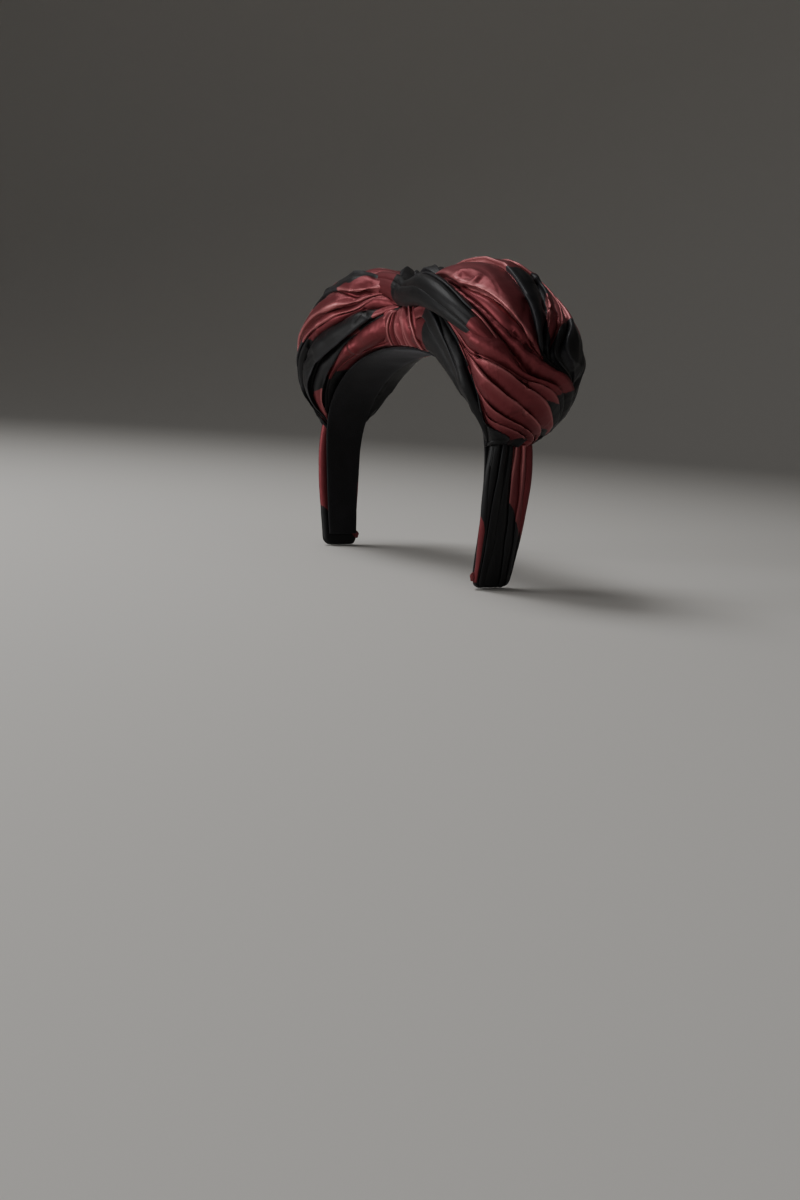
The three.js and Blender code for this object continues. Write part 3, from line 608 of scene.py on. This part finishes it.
def two_tone_satin():
    """Woven polyester satin: long floats give a soft broad gloss and a fine slanting line, and the black
    patches are woven in, with edges that fray by a thread or two, except a few stretches on the left roll
    where black stands in for deep shade on the red, as painted shade. Rims are painted paler, a painted
    highlight for light caught on the folded edges. The real threads are 0.1 mm apart; a Scale of 1.5 draws
    them 0.3 mm apart so that they show. All patterns are in millimetres on the flat cloth."""
    made = bpy.data.materials.new("two_tone_satin")
    made.use_nodes = True
    tree = made.node_tree
    tree.nodes.clear()
    black, along, round_, rim = (node(tree, "ShaderNodeAttribute", attribute_name=name).outputs["Fac"]
                                 for name in ("black", "along", "round", "rim"))
    cloth = node(tree, "ShaderNodeCombineXYZ", {"X": along, "Y": round_}).outputs[0]
    # The edges of the black are ragged by flecks about 2 mm long and 0.4 mm wide.
    threads = node(tree, "ShaderNodeMapping", {"Vector": cloth, "Scale": (0.5, 2.5, 1.0)})
    ragged = node(tree, "ShaderNodeTexNoise", {"Vector": threads.outputs[0], "Scale": 1.0, "Detail": 2.0})
    wobble = node(tree, "ShaderNodeMath", {0: ragged.outputs["Fac"], 1: 0.5}, operation="SUBTRACT")
    edge = node(tree, "ShaderNodeMath", {0: wobble.outputs[0], 1: 1.2, 2: black}, operation="MULTIPLY_ADD")
    patch = node(tree, "ShaderNodeMapRange", {"Value": edge.outputs[0], "From Min": -0.15, "From Max": 0.15})
    in_black = patch.outputs["Result"]
    red = node(tree, "ShaderNodeMix", {
        "Factor": ragged.outputs["Fac"], 6: linear("#6c2f34"), 7: linear("#7c393e")}, data_type="RGBA")
    flat = node(tree, "ShaderNodeMix", {
        "Factor": in_black, 6: red.outputs[2], 7: linear("#0e0e10")}, data_type="RGBA")
    # Painted highlight: the pale pink and pale grey that the rims of the red and the black are painted
    # towards.
    pale = node(tree, "ShaderNodeMix", {
        "Factor": in_black, 6: linear("#cf8486"), 7: linear("#37373b")}, data_type="RGBA")
    painted_rim_highlight = node(tree, "ShaderNodeMath", {0: rim, 1: 0.75}, operation="MULTIPLY")
    colour = node(tree, "ShaderNodeMix", {
        "Factor": painted_rim_highlight.outputs[0], 6: flat.outputs[2], 7: pale.outputs[2]}, data_type="RGBA")
    gloss = node(tree, "ShaderNodeMapRange", {"Value": in_black, "To Min": 0.48, "To Max": 0.50})
    metal = node(tree, "ShaderNodeMapRange", {"Value": in_black, "To Min": 0.66, "To Max": 0.10})
    weave = node(tree, "ShaderNodeTexWave", {
        "Vector": cloth, "Scale": 1.5, "Distortion": 0.4, "Detail": 1.0}, bands_direction="DIAGONAL")
    thread_relief = node(tree, "ShaderNodeBump", {
        "Height": weave.outputs["Fac"], "Strength": 0.06, "Distance": 0.0002})
    # Fine creases, about 10 mm long and 3 mm apart, lie along the folds.
    drawn = node(tree, "ShaderNodeMapping", {"Vector": cloth, "Scale": (0.10, 0.32, 1.0)})
    creases = node(tree, "ShaderNodeTexNoise", {
        "Vector": drawn.outputs[0], "Scale": 1.0, "Detail": 3.0, "Distortion": 0.6},
        noise_type="RIDGED_MULTIFRACTAL")
    relief = node(tree, "ShaderNodeBump", {
        "Height": creases.outputs["Fac"], "Strength": 0.35, "Distance": 0.0005,
        "Normal": thread_relief.outputs[0]})
    skin = node(tree, "ShaderNodeBsdfPrincipled", {
        "Base Color": colour.outputs[2], "Roughness": gloss.outputs["Result"],
        "Metallic": metal.outputs["Result"], "Normal": relief.outputs[0], "Specular IOR Level": 0.30,
        "Sheen Weight": 0.06, "Sheen Roughness": 0.35, "Sheen Tint": linear("#d8cccb")})
    node(tree, "ShaderNodeOutputMaterial", {"Surface": skin.outputs["BSDF"]})
    return made


satin = two_tone_satin()


def dress(piece, solid=None):
    """Makes a piece padded satin that rides on the band, in place of its plain solid where it has one."""
    piece.data.materials.append(satin)
    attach(piece, "root")
    if solid:
        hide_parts(solid)


dress(left_roll, "left_roll")
dress(right_roll, "right_roll")

# ---- The crossing strands --------------------------------------------------------------------------
# One fold of each roll's cloth is drawn over the other at the crown, front strand from the wearer's left
# and back strand from the right. Each is a soft tube of satin that rises out of a valley and dives under.

# Edges are given along the band (1 is the left gather, -1 the right) and round it, with the lift of the
# edges over the padding and half the tube's thickness.
FRONT_STRAND = {
    "at": [0, .125, .25, .375, .50, .625, .75, .875, 1],
    "low_along": [.80, .745, .675, .57, .44, .29, .14, -.04, -.29],
    "low_round": [.30, .265, .235, .21, .198, .202, .225, .29, .345],
    "high_along": [.81, .755, .68, .57, .43, .27, .09, -.14, -.40],
    "high_round": [.335, .318, .298, .283, .292, .322, .385, .448, .465],
    "lift": [-4.0, -1.2, 1.2, 2.4, 3.4, 4.0, 4.2, 3.2, -3.0],
    "thick": [1.8, 2.6, 3.6, 4.4, 4.8, 5.0, 4.8, 4.6, 3.2],
}
BACK_STRAND = {
    "at": [0, .1, .2, .3, .4, .5, .6, .7, .8, .9, 1],
    "low_along": [-.855, -.79, -.70, -.58, -.44, -.30, -.17, -.05, .07, .18, .30],
    "low_round": [.55, .62, .665, .67, .64, .56, .45, .35, .335, .33, .32],
    "high_along": [-.852, -.785, -.70, -.585, -.45, -.31, -.18, -.05, .07, .19, .31],
    "high_round": [.56, .68, .745, .765, .765, .73, .65, .57, .50, .43, .35],
    "lift": [-3.0, -0.5, 1.2, 2.2, 2.6, 2.6, 2.6, 3.0, 3.6, 2.4, -4.0],
    "thick": [2.5, 3.8, 4.4, 4.7, 4.6, 4.4, 4.4, 4.6, 4.8, 4.4, 3.0],
}
FRONT_CREST = 1.5
BACK_CREST = 2.4
STRAND_BELLY = 3.0
STRAND_SIZE = (95.0, 26.0)     # length of its cloth, and the way across it
STRAND_ROWS = 260

# Fold lines of the strands, read as the rolls' are, from the low edge to the high one.
FRONT_STRAND_FOLDS = [
    {"name": "low_edge", "lip": 0, "drop": 0.0, "black": [[.26, .87, 0]],
     "round": [0, 0, 0, 0, 0, 0, 0, 0, 0]},
    {"name": "pull", "lip": 0, "drop": 0.3, "black": [[.285, .87, 0]],
     "round": [.4, .38, .36, .38, .42, .46, .48, .46, .4]},
    {"name": "top_fold", "lip": -1, "drop": 0.9, "black": [[.32, .87, 0]],
     "round": [.8, .80, .80, .79, .78, .80, .82, .84, .8]},
    {"name": "high_edge", "lip": 0, "drop": 0.0,
     "round": [1, 1, 1, 1, 1, 1, 1, 1, 1]},
]
BACK_STRAND_FOLDS = [
    {"name": "low_edge", "lip": 0, "drop": 0.0, "black": [[.38, 1.2, .1]],
     "round": [0, 0, 0, 0, 0, 0, 0, 0, 0]},
    {"name": "near_fold", "lip": -1, "drop": 2.2, "black": [[.40, 1.2, .1]],
     "round": [.2, .18, .16, .2, .24, .22, .2, .24, .2]},
    {"name": "middle_fold", "lip": -1, "drop": 2.4, "black": [[.44, 1.2, .1]],
     "round": [.4, .44, .48, .46, .44, .46, .5, .44, .4]},
    {"name": "far_fold", "lip": 1, "drop": 2.2, "black": [[.50, 1.2, .1]],
     "round": [.6, .64, .7, .72, .7, .68, .7, .66, .6]},
    {"name": "top_fold", "lip": 1, "drop": 1.8, "black": [[.52, 1.2, .1]],
     "round": [.8, .82, .86, .88, .88, .86, .86, .84, .8]},
    {"name": "high_edge", "lip": 0, "drop": 0.0,
     "round": [1, 1, 1, 1, 1, 1, 1, 1, 1]},
]


def strand_surface(route):
    """Upper half of the tube: half an ellipse between the strand's two edges, raised along its normal."""
    def surface(at, round_, out):
        lift, thick = through(route, "lift", at), through(route, "thick", at)
        u = [through(route, key, at) for key in ("low_along", "high_along")]
        v = [through(route, key, at) for key in ("low_round", "high_round")]
        low, high = (roll_point(GATHER_LENGTH * a, b, lift) for a, b in zip(u, v))
        middle, half = (low + high) / 2, (high - low) / 2
        length, v_mid = GATHER_LENGTH * ((u[0] + u[1]) / 2), (v[0] + v[1]) / 2
        up = unit(roll_point(length, v_mid, lift + 1) - roll_point(length, v_mid, lift))
        wide = np.maximum(np.linalg.norm(half, axis=-1), 0.5)
        a = math.pi * round_
        lean = unit(-half / wide[:, None] * (np.cos(a) / wide)[:, None] + up * (np.sin(a) / thick)[:, None])
        return middle - half * np.cos(a)[:, None] + up * (thick * np.sin(a))[:, None] + lean * out[:, None]

    return surface


front_strand = covered("front_strand", FRONT_STRAND_FOLDS, strand_surface(FRONT_STRAND), STRAND_SIZE, 51,
                       STRAND_ROWS, FRONT_CREST, STRAND_BELLY, pleats=(0.3, 0.9))
back_strand = covered("back_strand", BACK_STRAND_FOLDS, strand_surface(BACK_STRAND), STRAND_SIZE, 61,
                      STRAND_ROWS, BACK_CREST, STRAND_BELLY, pleats=(0.3, 0.6))
dress(front_strand, "front_wrap")
dress(back_strand, "back_wrap")

# ---- The tucks under the crossing ------------------------------------------------------------------
# Below each strand, front and back, the two rolls' cloth is pulled together at the crown and crumples into
# short ridges and pockets, sewn down by hand, before it turns under the band.
TUCK_SIZE = (26.0, 48.0)       # height of its cloth, and the way along the band
TUCK_ROWS = 150
TUCK_CREST = 2.4
TUCK_BELLY = 3.0
TUCK_LIFT = 1.2                # how far its middle stands above the padding
SIDE_DIVE = 5.0                # how deep its side edges sink into the rolls
TOP_DIVE = 4.0                 # how deep its top sinks under the strand
# Where a tuck runs: along the band, from one side edge to the other, and round it, from base to top.
TUCKS = {
    "front_tuck": {"from": -.20, "to": .36, "base": 0.0, "top": .29, "seed": 101},
    "back_tuck": {"from": .22, "to": -.38, "base": 1.0, "top": .52, "seed": 111},
}
TUCK_FOLDS = [
    {"name": "first_edge", "lip": 0, "drop": 0.0, "round": [0, .01, .03, .06, .08, .11, .14, .17, .20]},
    {"name": "side_pleat", "lip": -1, "drop": 1.6, "round": [.10, .11, .13, .16, .19, .21, .24, .28, .31]},
    {"name": "crease", "lip": 1, "drop": 2.6, "round": [.22, .23, .24, .25, .27, .29, .30, .32, .34]},
    {"name": "pocket", "lip": 0, "drop": 4.5, "round": [.36, .36, .36, .37, .37, .37, .37, .38, .38]},
    {"name": "slant_rim", "lip": -1, "drop": 2.2, "round": [.50, .49, .49, .47, .46, .45, .44, .42, .41]},
    {"name": "twin_rim", "lip": -1, "drop": 2.0, "round": [.60, .59, .57, .56, .54, .51, .49, .47, .44]},
    {"name": "short_rim", "lip": -1, "drop": 1.8, "round": [.69, .68, .65, .63, .60, .57, .54, .51, .47]},
    {"name": "far_valley", "lip": 0, "drop": 2.4, "round": [.80, .78, .75, .72, .68, .64, .60, .56, .51]},
    {"name": "far_rim", "lip": 1, "drop": 1.8, "round": [.90, .88, .84, .81, .76, .72, .67, .61, .56]},
    {"name": "last_edge", "lip": 0, "drop": 0.0, "round": [1, .98, .94, .91, .86, .82, .77, .71, .66]},
]


def tuck_surface(tuck):
    """A patch of the padding about the crown, read from its base upwards, that dives at both its side edges
    and under the strand."""
    def surface(at, round_, out):
        ends = np.clip(np.minimum(round_ / 0.45, (1 - round_) / 0.16), 0, 1)
        dive = -SIDE_DIVE * (1 - ends) ** 2 - TOP_DIVE * np.clip((at - 0.75) / 0.25, 0, 1) ** 2
        length = GATHER_LENGTH * (tuck["from"] * (1 - round_) + tuck["to"] * round_)
        return roll_point(length, tuck["base"] * (1 - at) + tuck["top"] * at, out + dive + TUCK_LIFT * ends)

    return surface


for name, tuck in TUCKS.items():
    cloth = covered(name, TUCK_FOLDS, tuck_surface(tuck), TUCK_SIZE, tuck["seed"], TUCK_ROWS, TUCK_CREST,
                    TUCK_BELLY)
    dress(cloth)

# ---- The flat ends ---------------------------------------------------------------------------------
# Below each gather the satin lies in pleats over a flat springy band and is folded round its tip. The
# pleats run out towards the tip, where a small knot of stitches closes the cover.

# Half width of the flat end by height over the floor.
END_WIDTHS = {"at": [0, 12, 32, 52, 64], "half": [10.0, 10.6, 12.2, 12.6, 11.2]}
END_THICKNESS = 4.5
END_GAP = 0.3                  # between the top of the end and the gather
END_MID_Y = -1.75
TIP_RADIUS = 4.0               # of the tip's corners, seen from outside
TIP_ROUNDING = 1.6             # height over which the tip's lower edges are rounded
END_SIZE = (64.0, 26.0)        # height of its cloth, and the way across it
END_ROWS = 220
END_CREST = 1.5
END_PLEATS = [
    {"name": "front_edge", "lip": 0, "drop": 0.0, "black": [[-0.2, 0.53, 0.12], [0.96, 1.2, 0.0]],
     "round": [0, 0, 0, 0, 0]},
    {"name": "front_turn", "lip": 0, "drop": 0.3, "black": [[-0.2, 1.2, 0.0]],
     "round": [.05, .05, .07, .06, .045]},
    {"name": "first_pleat", "lip": -1, "drop": 0.9, "black": [[-0.2, 1.2, 0.0]],
     "round": [.18, .175, .14, .11, .08]},
    {"name": "second_pleat", "lip": 0, "drop": 1.3, "black": [[-0.2, 1.2, 0.0]],
     "round": [.35, .36, .34, .29, .22]},
    {"name": "red_pleat", "lip": -1, "drop": 1.8, "black": [[0.45, 1.2, 0.1]],
     "round": [.48, .49, .53, .59, .64]},
    {"name": "middle_red_pleat", "lip": -1, "drop": 1.6, "black": [[0.58, 1.2, 0.1]],
     "round": [.66, .69, .73, .79, .83]},
    {"name": "back_red_pleat", "lip": 0, "drop": 1.2, "black": [[0.64, 1.2, 0.1]],
     "round": [.79, .81, .85, .90, .93]},
    {"name": "back_edge", "lip": 0, "drop": 0.0,
     "round": [1, 1, 1, 1, 1]},
]


def end_surface(side):
    """Outer face of a flat end: level sections, each half of a squared ellipse, with rounded tip corners."""
    def surface(at, round_, out):
        height = np.maximum((GATHER_HEIGHT - END_GAP) * (1 - at), 0.0)
        rounding = TIP_RADIUS - np.sqrt(TIP_RADIUS ** 2 - np.maximum(0, TIP_RADIUS - height) ** 2)
        half = through(END_WIDTHS, "half", height) - rounding
        across = np.clip(2 * round_ - 1, -1, 1)
        tip = np.sqrt(1 - np.clip(1 - height / TIP_ROUNDING, 0, 1) ** 2)
        swell = (END_THICKNESS / 2 + out) * tip * (1 - across ** 6) ** 0.5
        x = inner_x(height) + END_THICKNESS / 2 + swell
        return np.stack([side * x, END_MID_Y + side * (half + 0.2 * out * tip) * across, height], axis=-1)

    return surface


# The pleats are highest under the gather and less than half as high at the tip.
pleats_out = 0.42 + np.exp(-np.linspace(0, 1, END_ROWS) / 0.24)
for name, side, seed in (("left_end", 1, 71), ("right_end", -1, 81)):
    end = covered(name + "_cover", END_PLEATS, end_surface(side), END_SIZE, seed, END_ROWS, END_CREST,
                  END_THICKNESS / 2, pleats=(0.5, 0), rise=pleats_out)
    dress(end, name)

KNOT_RADIUS = 1.3
KNOT_OUT = 2.6                 # from the inner face of the tip
KNOT_ACROSS = 10.2             # from the middle of the end to its corner
KNOT_HEIGHT = 5.2
KNOT_SHAPE = (0.7, 1.0, 1.5)   # it is flattened against the end and longest upright


def tip_knot(name, side):
    """The knot that ends the seam: an egg of wound thread whose turns stand up as slanting ridges, which are
    a wave round the ball that turns as it goes down."""
    tilt = np.linspace(0.02, math.pi - 0.02, 40)[:, None]
    about = np.linspace(0, 2 * math.pi, 64, endpoint=False)[None]
    turns = 0.18 * np.cos(9 * (about + 0.5 * tilt)) * np.sin(tilt)
    radius = KNOT_RADIUS + turns + 0.1 * np.cos(5 * tilt)
    ball = np.stack([radius * KNOT_SHAPE[0] * np.sin(tilt) * np.cos(about),
                     radius * KNOT_SHAPE[1] * np.sin(tilt) * np.sin(about),
                     KNOT_SHAPE[2] * radius * np.cos(tilt) + 0 * about], axis=-1)
    place = np.array([side * (END_HALF_WIDTH + KNOT_OUT), END_MID_Y - side * KNOT_ACROSS, KNOT_HEIGHT])
    zero = 0 * ball[..., 0]
    # The knot takes a fifth of the rims' painted highlight all over, so it is evenly paler.
    return face_out(mesh_of(name, ball + place, values={
        "black": zero + NO_BLACK, "along": ball[..., 2] * 2, "round": ball[..., 1] * 2, "rim": zero + 0.2}))


for name, side in (("left_tip_knot", 1), ("right_tip_knot", -1)):
    dress(tip_knot(name, side))

# ---- The lining ------------------------------------------------------------------------------------
# A strip of black velvet ribbon, glued along the inner face over the raw edges of the satin, keeps the band
# from slipping.

# Half width and middle of the ribbon by share of the arch's length from the crown.
LINING_WIDTHS = {"at": [0, .45, .70, 1], "half": [14.0, 13.0, 10.0, 8.0], "mid": [-0.5, -1.0, -1.75, -1.75]}
LINING_THICKNESS = 2.0
LINING_GAP = 0.3
LINING_STOP = 6.0              # it ends this far above the tips
LINING_ROWS = 420


def lining_strip():
    """The ribbon's section is a flat rectangle with round edges, carried along the arch's inner face. Also
    gives its area and its length when laid flat, in metres."""
    stop = ARCH_LENGTH - LINING_STOP
    length = np.linspace(-stop, stop, LINING_ROWS)
    share = np.abs(length) / ARCH_LENGTH
    half, mid = through(LINING_WIDTHS, "half", share), through(LINING_WIDTHS, "mid", share)
    x, z, out_x, out_z = arch_frame(length)
    a = np.linspace(0, 2 * math.pi, 48, endpoint=False)
    wide = np.sign(np.cos(a)) * np.abs(np.cos(a)) ** 0.35
    deep = np.sign(np.sin(a)) * np.abs(np.sin(a)) ** 0.7
    y = mid[:, None] + half[:, None] * wide
    out = -LINING_GAP - LINING_THICKNESS / 2 + LINING_THICKNESS / 2 * deep
    out = out + 0.2 * drift(np.stack([length[:, None] + 0 * y, y, 0 * y], axis=-1), 8.0, 91) * (deep < 0)
    grid = np.stack([x[:, None] + out * out_x[:, None], y, z[:, None] + out * out_z[:, None]], axis=-1)
    flat = (2 * stop * 2 * float(half.mean())) * MM * MM
    return face_out(mesh_of("velvet_lining", grid)), flat, 2 * stop * MM


def velvet():
    """Cut-pile ribbon velvet: dark pile that swallows light face on and catches it at its edges. The real
    tufts are about 0.1 mm apart; they are drawn 0.7 mm apart so that they show, and the nap lies in patches
    of about 11 mm."""
    made = bpy.data.materials.new("ribbon_velvet")
    made.use_nodes = True
    tree = made.node_tree
    tree.nodes.clear()
    place = node(tree, "ShaderNodeTexCoord").outputs["Object"]
    pile = node(tree, "ShaderNodeTexNoise", {"Vector": place, "Scale": 1400.0, "Detail": 3.0})
    nap = node(tree, "ShaderNodeTexNoise", {"Vector": place, "Scale": 90.0, "Detail": 1.0})
    shade = node(tree, "ShaderNodeMath", {
        0: pile.outputs["Fac"], 1: nap.outputs["Fac"]}, operation="MULTIPLY")
    colour = node(tree, "ShaderNodeMix", {
        "Factor": shade.outputs[0], 6: linear("#08080a"), 7: linear("#28272c")}, data_type="RGBA")
    relief = node(tree, "ShaderNodeBump", {
        "Height": pile.outputs["Fac"], "Strength": 0.5, "Distance": 0.0004})
    skin = node(tree, "ShaderNodeBsdfPrincipled", {
        "Base Color": colour.outputs[2], "Roughness": 0.9, "Normal": relief.outputs[0],
        "Sheen Weight": 0.6, "Sheen Roughness": 0.3, "Sheen Tint": linear("#8a8a92")})
    node(tree, "ShaderNodeOutputMaterial", {"Surface": skin.outputs["BSDF"]})
    return made


lining, lining_area, lining_length = lining_strip()
lining.data.materials.append(velvet())
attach(lining, "root")
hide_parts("lining")

# ---- Floor, light and camera -----------------------------------------------------------------------
# A pale paper sweep, and four soft square lights: two of nearly equal strength, one high and one low in
# front, and two faint ones that open the shadows. The camera stands in front, on the wearer's left.
camera = bpy.data.objects.new("camera", bpy.data.cameras.new("camera"))
bpy.context.scene.collection.objects.link(camera)
eye = Vector((0.4406, -0.3072, 0.0797))
back = Vector((0.811, -0.557, 0.180)).normalized()
up = Vector((-0.189, 0.042, 0.981))
right = up.cross(back).normalized()
up = back.cross(right)
camera.matrix_world = Matrix([[right[i], up[i], back[i], eye[i]] for i in range(3)] + [[0, 0, 0, 1]])
camera.data.lens = 33.0
camera.data.sensor_width = 36.0
camera.data.clip_start = 0.01
bpy.context.scene.camera = camera

FLOOR_RADIUS = 1.6
SWEEP_RADIUS = 1.4
FLOOR_GAP = 0.0005
# The sweep is a flat disc whose edge rises in a quarter circle, turned about the band's middle, in metres.
round_about = np.linspace(0, 2 * math.pi, 96, endpoint=False)
rising = np.linspace(0, math.pi / 2, 24)
sweep_r = np.concatenate([[0.0001, 0.4, 1.0], FLOOR_RADIUS + SWEEP_RADIUS * np.sin(rising)])
sweep_z = np.concatenate([[0, 0, 0], SWEEP_RADIUS * (1 - np.cos(rising))]) - FLOOR_GAP
sweep = np.stack([sweep_r[:, None] * np.cos(round_about), sweep_r[:, None] * np.sin(round_about),
                  sweep_z[:, None] + 0 * round_about], axis=-1)
floor = mesh_of("floor", sweep / MM, closed_ends=False)
paper = bpy.data.materials.new("paper")
paper.use_nodes = True
matt = paper.node_tree.nodes["Principled BSDF"]
matt.inputs["Base Color"].default_value = linear("#e4e1dc")
matt.inputs["Roughness"].default_value = 0.9
floor.data.materials.append(paper)

BAND_MIDDLE = Vector((0, 0, 0.08))


def soft_light(name, place, size, power):
    """A square soft light that looks at the middle of the band."""
    lamp = bpy.data.lights.new(name, "AREA")
    lamp.size, lamp.energy = size, power
    made = bpy.data.objects.new(name, lamp)
    bpy.context.scene.collection.objects.link(made)
    made.location = place
    made.rotation_mode = "QUATERNION"
    made.rotation_quaternion = (BAND_MIDDLE - Vector(place)).to_track_quat("-Z", "Y")


soft_light("key", (-0.33, -0.28, 0.98), 0.45, 4.5)
soft_light("side", (-0.31, -0.93, 0.26), 0.45, 4.3)
soft_light("fill", (0.93, 0.29, 0.59), 0.8, 0.4)
soft_light("low", (0.55, -0.75, 0.08), 0.5, 0.7)
world = bpy.data.worlds.new("world")
world.use_nodes = True
world.node_tree.nodes["Background"].inputs["Color"].default_value = linear("#d8d6d3")
world.node_tree.nodes["Background"].inputs["Strength"].default_value = 0.08
bpy.context.scene.world = world
